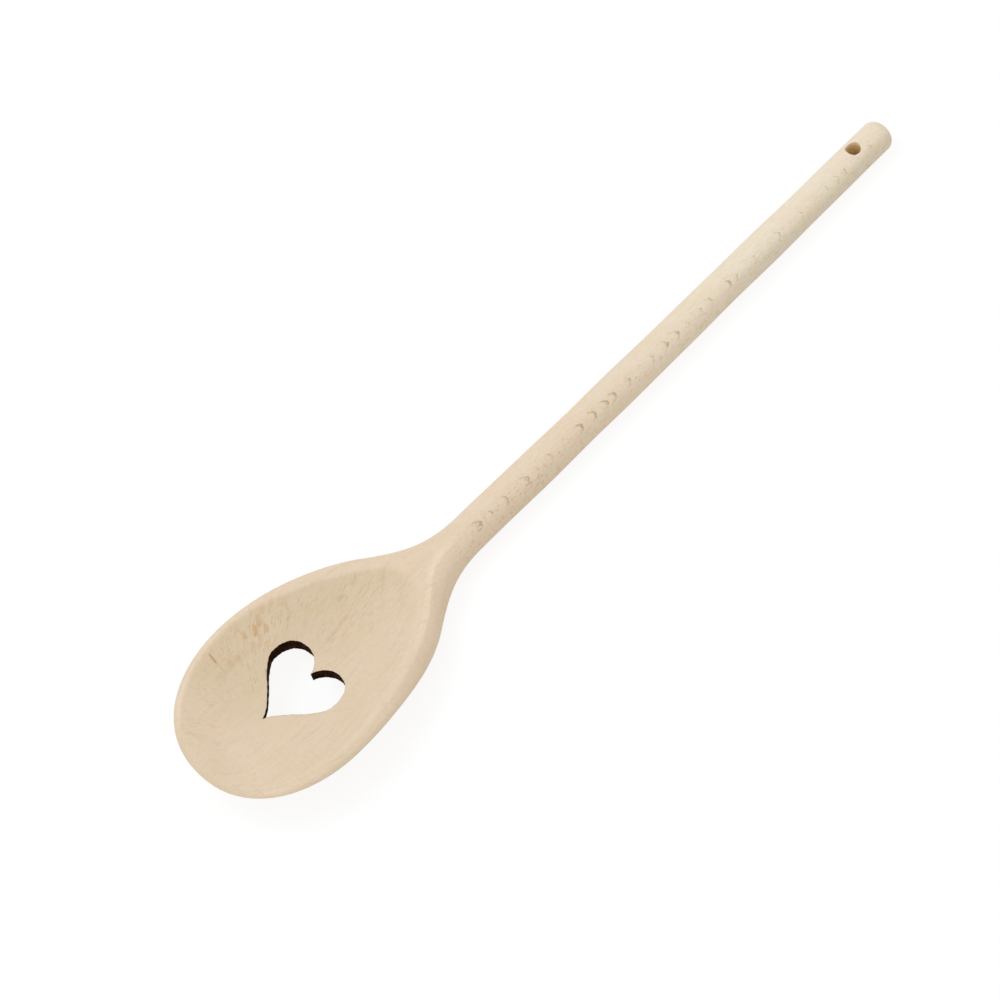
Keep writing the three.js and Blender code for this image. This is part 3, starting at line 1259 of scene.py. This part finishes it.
@dataclass
class RayFigure:
    """Where the rays of the wood come out on the head, fanning out from one spot."""

    fan_from: Spot = (24, -3)
    flames: tuple[Flame, ...] = (Flame(43, 22, 11, 5, 1.2), Flame(72, 12.5, 8, 3, 0.6))
    hollow_span: Spot = (0.05, 0.9)
    on_rim: float = 0.25
    near_share: float = 0.35
    near_turn: Spot = (-11, 5)
    clear_span: Spot = (7, 16)
    tip_share: float = 0.45
    tip_run: Spot = (14, 34)
    on_handle: float = 0.3
    neck_run: Spot = (88, 122)

    def fan(self, x: np.ndarray, y: np.ndarray) -> np.ndarray:
        """The way in plan from the fan's spot to each place."""
        return np.stack([x - self.fan_from[0], y - self.fan_from[1], 0 * x], axis=1)

    def flame(self, x: np.ndarray, y: np.ndarray) -> np.ndarray:
        """Strength of the flame bars at places in plan."""
        return sum(flame.share(x, y) for flame in self.flames)

    def strength(self, x: np.ndarray, y: np.ndarray, hollow: np.ndarray) -> np.ndarray:
        """Strength of the ray flecks.

        Args:
            x, y: Places in plan.
            hollow: Depth of the dish there, 0 on the underside.

        Returns:
            One strength for each place.
        """
        rays = between(self.on_rim, 1, smooth(hollow, *self.hollow_span))
        rays = rays * between(self.near_share, 1, smooth(y, *self.near_turn))
        rays = rays * smooth(np.linalg.norm(self.fan(x, y), axis=1), *self.clear_span)
        rays = rays * between(self.tip_share, 1, smooth(x, *self.tip_run))
        return between(rays, self.on_handle, smooth(x, *self.neck_run))


@dataclass
class RubbedRimAndHighlight:
    """The paler wood where hands and cloths have rubbed the edges of the rim, with painted highlight in bands
    along the near side.
    """

    head: Head
    far_share: float = 0.3
    far_width: float = 0.8
    far_turn: Spot = (-10, 5)
    far_stop: Spot = (85, 110)
    # Places along the spoon, and how far inside its outline the near side's painted highlight starts there.
    near_edge: tuple[Spot, ...] = (
        (60, 1.6), (67, 2.5), (72, 2.8), (78, 3.05), (83, 3.2), (88, 4), (91, 4.7), (95, 5.2), (100, 4.6),
    )
    inner_start: Spot = (-0.15, 0.25)
    inner_stop: Spot = (0.6, 3.2)
    inner_from: Spot = (66, 80)
    inner_to: Spot = (90, 114)
    outer_share: float = 0.7
    outer_start: Spot = (0.5, 1.2)
    outer_stop: Spot = (2, 2.8)
    outer_to: Spot = (50, 60)
    tip_from: Spot = (3, 12)

    def share(self, x: np.ndarray, y: np.ndarray) -> np.ndarray:
        """How much paler the wood is, from rubbing and from painted highlight.

        Args:
            x, y: Places in plan of points on the upper side.

        Returns:
            One share for each point.
        """
        inset = self.head.half_width(x) - np.abs(y)
        far = self.far_share * np.exp(-(((inset - self.head.rim_round) / self.far_width) ** 2))
        far = far * smooth(y, *self.far_turn) * (1 - smooth(x, *self.far_stop))
        # Painted highlight: pale bands on the near side, inside its rim edge and near the outline towards the
        # tip.
        past_edge = inset - np.interp(x, *np.transpose(self.near_edge))
        inner = smooth(past_edge, *self.inner_start) * (1 - smooth(past_edge, *self.inner_stop))
        inner = inner * smooth(x, *self.inner_from) * (1 - smooth(x, *self.inner_to))
        outer = smooth(inset, *self.outer_start) * (1 - smooth(inset, *self.outer_stop))
        outer = outer * self.outer_share * (1 - smooth(x, *self.outer_to))
        return (far + (inner + outer) * (y < 0)) * smooth(x, *self.tip_from)


@dataclass
class Spoon:
    """The whole spoon: blank, cuts, values for its finish, and its place on the table."""

    handle: Handle
    head: Head
    dish: Dish
    heart: Heart
    hole: HangHole
    rays: RayFigure
    rim: RubbedRimAndHighlight
    head_steps: int = 190
    neck_steps: int = 28
    dish_steps: int = 38
    land_steps: int = 5
    shoulder_steps: int = 14
    belly_steps: int = 40
    strip_steps: int = 4
    strip_turn: float = math.radians(84.7)
    crisp_angle: float = math.radians(38)
    # How the growth bands lie on the head and on the handle: turned about the spoon and sloped along it.
    grain_tilt: Spot = (math.radians(14), math.radians(36))
    grain_slope: Spot = (0.053, -0.21)
    grain_turn: Spot = (80, 125)
    grain_steps: int = 601

    def shoulder(self) -> np.ndarray:
        """Shares of the way over a rounded shoulder, closer together at its outer end."""
        return np.sin(np.arange(self.shoulder_steps) * math.pi / 2 / self.shoulder_steps)

    def half_section(self, x: float) -> np.ndarray:
        """Half of the closed section at x, from the middle of the top round to that of the underside.

        Args:
            x: Place of the section.

        Returns:
            Rows of y and z.
        """
        head = self.head
        half, level, rise = float(head.half_width(x)), float(head.level(x)), float(head.rise(x))
        turned = float(head.toward_handle(x))
        round_width = between(head.rim_round, float(self.handle.radius(x)), turned)
        fullness = between(head.rim_fullness, 2, turned)
        crease = float(self.dish.crease(x))
        flat = max(crease, half - round_width, 0)
        y = np.concatenate(
            [
                crease * np.arange(self.dish_steps) / self.dish_steps,
                between(crease, flat, np.arange(self.land_steps) / self.land_steps),
                between(flat, half, self.shoulder()),
            ]
        )
        top = level + rise * rounded_edge(head.inside(x, y) / round_width, fullness)
        top = top - self.dish.depth(x, y)
        power = 2 / (2 + head.heel_squareness * float(head.heel(x)))
        belly = self.belly(half, level, float(head.depth(x)), power)
        return np.vstack([np.stack([y, top], axis=1), belly])

    def belly(self, half: float, level: float, depth: float, power: float) -> np.ndarray:
        """The underside of a half section, with the narrow flat strip on which the spoon rests.

        Args:
            half: Half width of the section.
            level: Height of its widest line.
            depth: Depth under that line.
            power: 1 for an ellipse, less for a squarer underside.

        Returns:
            Rows of y and z.
        """
        turn = np.linspace(0, self.strip_turn, self.belly_steps)
        y = half * np.cos(turn) ** power
        z = level - depth * np.sin(turn) ** power
        inward = y[-1] * (1 - np.arange(1, self.strip_steps + 1) / self.strip_steps)
        return np.vstack([np.stack([y, z], axis=1), np.stack([inward, np.full_like(inward, z[-1])], axis=1)])

    def dome_section(self, radius: float) -> np.ndarray:
        """Half of a round section of the domed end, point for point like the others.

        Args:
            radius: The section's radius.

        Returns:
            Rows of y and z.
        """
        top_count = self.dish_steps + self.land_steps
        y = np.concatenate([np.zeros(top_count), radius * self.shoulder()])
        top = np.stack([y, np.sqrt(np.maximum(radius**2 - y**2, 0))], axis=1)
        return np.vstack([top, self.belly(radius, 0, radius, 1)])

    def blank(self) -> bpy.types.Object:
        """Skins the spoon's sections into one closed blank.

        Returns:
            The blank, in millimetres.
        """
        head_turns = np.pi * np.arange(self.head_steps) / self.head_steps
        stations = np.concatenate(
            [
                self.dish.end * (1 - np.cos(head_turns)) / 2,
                np.linspace(self.dish.end, self.handle.starts_at, self.neck_steps, endpoint=False),
                self.handle.stations(),
            ]
        )
        halves = [(x, self.half_section(x)) for x in stations]
        halves += [(x, self.dome_section(radius)) for x, radius in self.handle.dome()]
        rings = []
        for x, half in halves:
            ring = np.vstack([half, half[-2:0:-1] * (-1, 1)])
            rings.append(np.column_stack([np.full(len(ring), x), ring]))
        count = len(rings[0])
        spots = np.vstack(rings)
        spots += self.handle.unevenness(spots)
        faces = []
        for i in range(len(rings) - 1):
            for j in range(count):
                a, b = i * count + j, i * count + (j + 1) % count
                faces.append((a, a + count, b + count, b))
        return closed_piece(NODE + "_wood", spots, faces, Region.SANDED)

    def cut(self, blank: bpy.types.Object) -> None:
        """Cuts the heart and the hole through the blank and keeps the result as its mesh.

        Args:
            blank: The blank.
        """
        cutters = [self.heart.cutter(), self.hole.cutter()]
        for cutter in cutters:
            knife = blank.modifiers.new(cutter.name, "BOOLEAN")
            knife.operation, knife.solver, knife.object = "DIFFERENCE", "EXACT", cutter
            knife.material_mode = "INDEX"
        shape = blank.evaluated_get(bpy.context.evaluated_depsgraph_get())
        mesh = bpy.data.meshes.new_from_object(shape)
        blank.modifiers.clear()
        whole, blank.data = blank.data, mesh
        bpy.data.meshes.remove(whole)
        mesh.name = blank.name
        for cutter in cutters:
            shape = cutter.data
            bpy.data.objects.remove(cutter)
            bpy.data.meshes.remove(shape)

    def crisp_edges(self, mesh: bpy.types.Mesh) -> None:
        """Shades the wood smooth, with crisp edges round the cuts.

        Args:
            mesh: The spoon's mesh.
        """
        solid = bmesh.new()
        solid.from_mesh(mesh)
        for face in solid.faces:
            face.smooth = True
        for edge in solid.edges:
            kinds = {face.material_index for face in edge.link_faces}
            walled = kinds != {Region.SANDED.value}
            edge.smooth = len(kinds) == 1 and not (walled and edge.calc_face_angle(0) > self.crisp_angle)
        solid.to_mesh(mesh)
        solid.free()

    def figure(self, spots: np.ndarray) -> np.ndarray:
        """Where each point lies in the tree: along the fibres, along the rays, across the growth bands.

        Args:
            spots: Points of the spoon.

        Returns:
            The three places for each point, in millimetres.
        """
        x, y, z = spots.T
        steps = np.linspace(0, self.handle.spoon_length, self.grain_steps)
        slope = between(*self.grain_slope, smooth(steps, *self.grain_turn))
        run = np.concatenate([[0], np.cumsum((slope[1:] + slope[:-1]) / 2 * np.diff(steps))])
        tilt = between(*self.grain_tilt, smooth(x, *self.grain_turn))
        across = np.cos(tilt) * z - np.sin(tilt) * y + np.interp(x, steps, run)
        return np.stack([x, np.sin(tilt) * z + np.cos(tilt) * y, across], axis=1)

    def upper(self, spots: np.ndarray) -> np.ndarray:
        """Which points lie on the upper side.

        Args:
            spots: Points of the spoon.

        Returns:
            True or False for each point.
        """
        x, y, z = spots.T
        level, half = self.head.level(x), np.maximum(self.head.half_width(x), TINY)
        top = level + self.head.rise(x) - self.dish.depth(x, y)
        under = level - self.head.depth(x) * np.sqrt(np.clip(1 - (y / half) ** 2, 0, 1))
        return z > (top + under) / 2

    def carry_marks(self, mesh: bpy.types.Mesh) -> None:
        """Gives each point the values that the finishes read.

        Args:
            mesh: The spoon's mesh.
        """
        spots = spots_of(mesh)
        x, y, z = spots.T
        upper = self.upper(spots)
        values = {
            Mark.FIGURE: self.figure(spots),
            Mark.FAN: self.rays.fan(x, y),
            # The dish's deeper colour: partly the wood's own tone, partly painted shade.
            Mark.DISH_TONE_AND_SHADE: self.dish.shade(x, y) * upper,
            Mark.HEART_GAP: self.heart.gap(spots),
            # Paler rubbed edges, with painted highlight along the rim's near side.
            Mark.EDGE_RUB_AND_HIGHLIGHT: self.rim.share(x, y) * upper,
            Mark.FLAME: self.rays.flame(x, y) * upper,
            Mark.RAYS: self.rays.strength(x, y, self.dish.depth(x, y) * upper),
            # Painted shade on the handle's right side.
            Mark.PAINTED_SHADE: self.handle.streak(x, y),
            Mark.HEIGHT: z,
        }
        for mark, value in values.items():
            self.store(mesh, mark, value)

    @staticmethod
    def store(mesh: bpy.types.Mesh, mark: Mark, values: np.ndarray) -> None:
        """Writes one number or one place for each point of a mesh.

        Args:
            mesh: The mesh.
            mark: What the values are.
            values: The values, in the order of the points.
        """
        kind, key = ("FLOAT", "value") if values.ndim == 1 else ("FLOAT_VECTOR", "vector")
        layer = mesh.attributes.new(mark.value, kind, "POINT")
        layer.data.foreach_set(key, np.ascontiguousarray(values, dtype=np.float32).ravel())

    def rest_slope(self, spots: np.ndarray) -> float:
        """Slope of the line under the spoon that touches its heel and the end of its handle.

        Args:
            spots: Points of the spoon.

        Returns:
            Rise over run of that line.
        """
        middle = self.handle.spoon_length / 2
        order = np.lexsort((spots[:, 2], np.round(spots[:, 0])))
        first = np.unique(np.round(spots[order, 0]), return_index=True)[1]
        lowest = spots[order[first]]
        front, back = lowest[lowest[:, 0] < middle], lowest[lowest[:, 0] >= middle]
        run = back[None, :, 0] - front[:, None, 0]
        slope = (back[None, :, 2] - front[:, None, 2]) / run
        height = front[:, None, 2] + slope * (middle - front[:, None, 0])
        return float(slope.flat[height.argmin()])

    def lay_down(self, mesh: bpy.types.Mesh) -> None:
        """Turns the spoon onto the table and sets it in the solid's box, in metres.

        Args:
            mesh: The spoon's mesh.
        """
        spots = spots_of(mesh)
        lean = Matrix.Rotation(math.atan(self.rest_slope(spots)), 4, "Y")
        mesh.transform(Matrix.Scale(MM, 4) @ lean)
        spots = spots_of(mesh)
        low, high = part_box(NODE)
        middle = (spots.min(axis=0) + spots.max(axis=0)) / 2
        across = ((low.x + high.x) / 2 - middle[0], (low.y + high.y) / 2 - middle[1])
        shift = Vector((*across, low.z - spots[:, 2].min()))
        mesh.transform(Matrix.Translation(shift))

    def dress(self, mesh: bpy.types.Mesh) -> None:
        """Gives each kind of surface its finish.

        Args:
            mesh: The spoon's mesh.
        """
        finishes = {
            Region.SANDED: SandedBeech(),
            Region.CHARRED: CharredWall(),
            Region.DRILLED: DrilledWall(),
        }
        mesh.materials.clear()
        for region in Region:
            mesh.materials.append(finishes[region].material())

    def build(self) -> bpy.types.Object:
        """Makes the spoon, dresses it and ties it to the solid model.

        Returns:
            The finished spoon.
        """
        piece = self.blank()
        self.cut(piece)
        regions = np.empty(len(piece.data.polygons), dtype=np.int32)
        piece.data.polygons.foreach_get("material_index", regions)
        self.dress(piece.data)
        piece.data.polygons.foreach_set("material_index", regions)
        self.crisp_edges(piece.data)
        self.carry_marks(piece.data)
        self.lay_down(piece.data)
        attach(piece, "root")
        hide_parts(NODE)
        return piece


@dataclass
class Studio:
    """Pale floor, soft light and the camera."""

    floor_size: float = 8
    floor_tone: Color = (0.86, 0.86, 0.86, 1)
    # The floor as the camera sees it: a glow just under white, and a little matt floor for the shadow.
    shadow_share: float = 0.14
    glow: float = 0.875
    sky: Color = (0.784, 0.761, 0.718, 1)
    lamp_tint: Trio = (0.77, 0.85, 1.0)
    lamp_toward: Trio = (-0.22, 0.3, 0.93)
    lamp_distance: float = 1.2
    lamp_size: float = 0.7
    lamp_level: float = 0.32
    near_clip: float = 0.01
    focal_length: float = 108
    sensor: float = 36
    # Where the camera stands, in metres, and which ways its right, its top and its back point.
    eye: Trio = (-0.19334, -0.46385, 0.79315)
    right: Trio = (0.70353, -0.66771, -0.24333)
    up: Trio = (0.68703, 0.55145, 0.47317)
    back: Trio = (-0.18176, -0.50007, 0.8467)

    @staticmethod
    def seen(w: Wiring) -> Socket:
        """Tells rays that show the background from those that light the spoon.

        Args:
            w: The wiring of the floor or the sky.

        Returns:
            1 where a ray comes from the camera, or by reflection or through glass.
        """
        path = w.add("ShaderNodeLightPath").outputs
        either = w.math("MAXIMUM", path["Is Camera Ray"], path["Is Glossy Ray"])
        return w.math("MAXIMUM", either, path["Is Transmission Ray"])

    def floor(self) -> bpy.types.Object:
        """The pale floor that the spoon lies on.

        Returns:
            The floor.
        """
        mesh = bpy.data.meshes.new("floor")
        half = self.floor_size / 2
        corners = [(-half, -half, 0), (half, -half, 0), (half, half, 0), (-half, half, 0)]
        mesh.from_pydata(corners, [], [(0, 1, 2, 3)])
        material = bpy.data.materials.new("pale_floor")
        w = Wiring(material)
        matt = w.add("ShaderNodeBsdfDiffuse", (("Color", self.floor_tone),)).outputs[0]
        shaded = w.add("ShaderNodeBsdfDiffuse", (("Color", (self.shadow_share,) * 3 + (1,)),)).outputs[0]
        glow = w.add("ShaderNodeEmission", (("Color", (self.glow,) * 3 + (1,)), ("Strength", 1.0))).outputs[0]
        white = w.add("ShaderNodeAddShader", ((0, shaded), (1, glow))).outputs[0]
        either = w.add("ShaderNodeMixShader", ((0, self.seen(w)), (1, matt), (2, white))).outputs[0]
        w.add("ShaderNodeOutputMaterial", (("Surface", either),))
        mesh.materials.append(material)
        floor = put("floor", mesh)
        return floor

    def light(self) -> bpy.types.Object:
        """The even sky and one soft lamp from the far left.

        Returns:
            The lamp.
        """
        world = bpy.data.worlds.new("studio_sky")
        bpy.context.scene.world = world
        w = Wiring(world)
        color = w.blend(self.seen(w), self.sky, (1, 1, 1, 1))
        sky = w.add("ShaderNodeBackground", (("Color", color), ("Strength", 1.0)))
        w.add("ShaderNodeOutputWorld", (("Surface", sky.outputs[0]),))
        data = bpy.data.lights.new("soft_lamp", "AREA")
        data.shape, data.size, data.color = "DISK", self.lamp_size, self.lamp_tint
        data.energy = self.lamp_level * (math.pi * self.lamp_distance) ** 2
        lamp = put("soft_lamp", data)
        toward = Vector(self.lamp_toward).normalized()
        lamp.location = toward * self.lamp_distance
        lamp.rotation_euler = toward.to_track_quat("Z", "Y").to_euler()
        return lamp

    def camera(self) -> bpy.types.Object:
        """The camera, high in front of the spoon's right side.

        Returns:
            The camera.
        """
        data = bpy.data.cameras.new("camera")
        data.sensor_width, data.lens, data.clip_start = self.sensor, self.focal_length, self.near_clip
        camera = put("camera", data)
        turn = Matrix((self.right, self.up, self.back)).transposed()
        camera.matrix_world = Matrix.Translation(self.eye) @ turn.to_4x4()
        bpy.context.scene.camera = camera
        return camera

    def build(self) -> None:
        """Sets up floor, light and camera."""
        bpy.context.scene.view_settings.view_transform = "Standard"
        for thing in (self.camera(), self.floor(), self.light()):
            LOG.info("studio: %s", thing.name)


def main() -> None:
    """Builds the spoon and its studio in order and reports each piece."""
    logging.basicConfig(level=logging.INFO, format="%(message)s")
    handle = Handle()
    head = Head(handle)
    spoon = Spoon(handle, head, Dish(head), Heart(), HangHole(handle), RayFigure(), RubbedRimAndHighlight(head))
    piece = spoon.build()
    LOG.info("piece: %s with %d faces", piece.name, len(piece.data.polygons))
    Studio().build()


if __name__ == "__main__":
    main()
